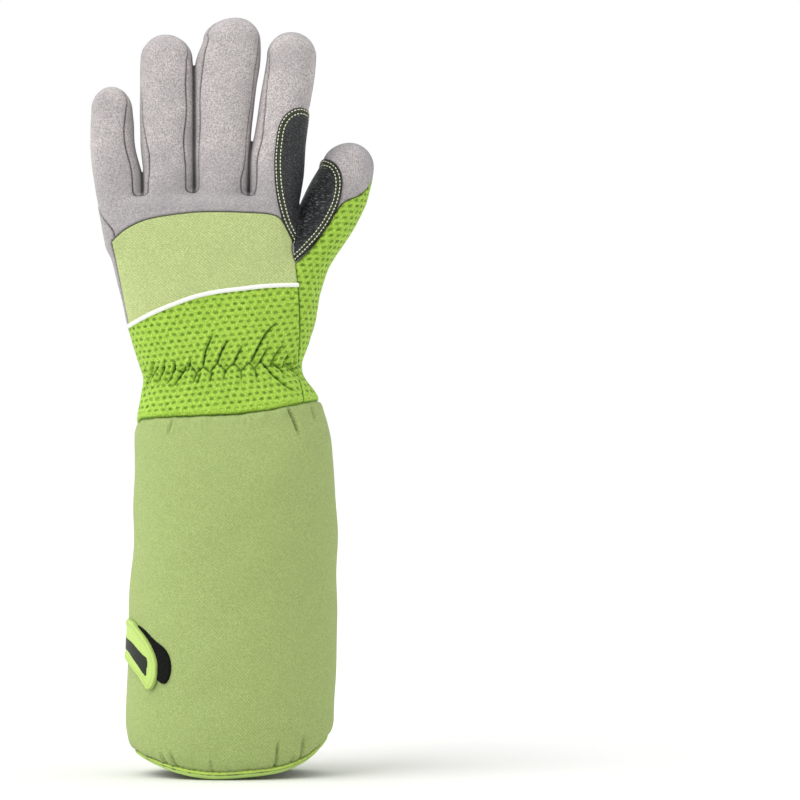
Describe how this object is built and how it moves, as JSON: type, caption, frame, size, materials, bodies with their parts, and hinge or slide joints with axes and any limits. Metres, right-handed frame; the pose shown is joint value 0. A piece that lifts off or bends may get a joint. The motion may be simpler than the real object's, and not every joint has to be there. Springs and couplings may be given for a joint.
{
  "type": "leather gardening glove",
  "caption": "Left-hand gardening glove in grey sueded leather with black grained patches, lime mesh wrist and a long padded green fabric cuff with a side strap.",
  "frame": {"origin": "middle of the gathered wrist, where the wrist in it carries the glove", "axes": "+Z from the wrist to the fingertips, +X to the thumb side, +Y the way the palm faces"},
  "size_m": [0.1481, 0.0886, 0.3928],
  "materials": {
    "sueded_leather": "warm pale grey split leather with a short even nap",
    "grained_leather": "near-black leather with a fine pebbled grain, half matt",
    "cotton_twill": "pale green twill, matt",
    "quilted_canvas": "soft green plain-woven canvas over padding, matt",
    "spacer_mesh": "lime knitted spacer mesh with small staggered dimples",
    "binding_tape": "bright lime folded tape",
    "piping_cord": "off-white covered cord",
    "webbing": "black hook strip, half matt",
    "loop_pile": "black loop pile"
  },
  "bodies": {
    "root": {"back_suede": "sueded_leather", "palm_suede": "sueded_leather", "thumb_suede": "sueded_leather", "fourchette_index_middle": "sueded_leather", "fourchette_middle_ring": "sueded_leather", "fourchette_ring_little": "sueded_leather", "cap_index": "grained_leather", "cap_middle": "grained_leather", "cap_ring": "grained_leather", "cap_little": "grained_leather", "index_side_patch": "grained_leather", "thumb_patch": "grained_leather", "palm_pad": "grained_leather", "thenar_pad": "grained_leather", "knuckle_panel": "cotton_twill", "piping": "piping_cord", "wrist_mesh": "spacer_mesh", "thumb_mesh": "spacer_mesh", "gauntlet": "quilted_canvas", "hem_binding": "binding_tape", "slit_binding": "binding_tape", "strap_tab": "binding_tape", "strap_centre": "webbing", "loop_patch": "loop_pile"}
  },
  "joints": []
}
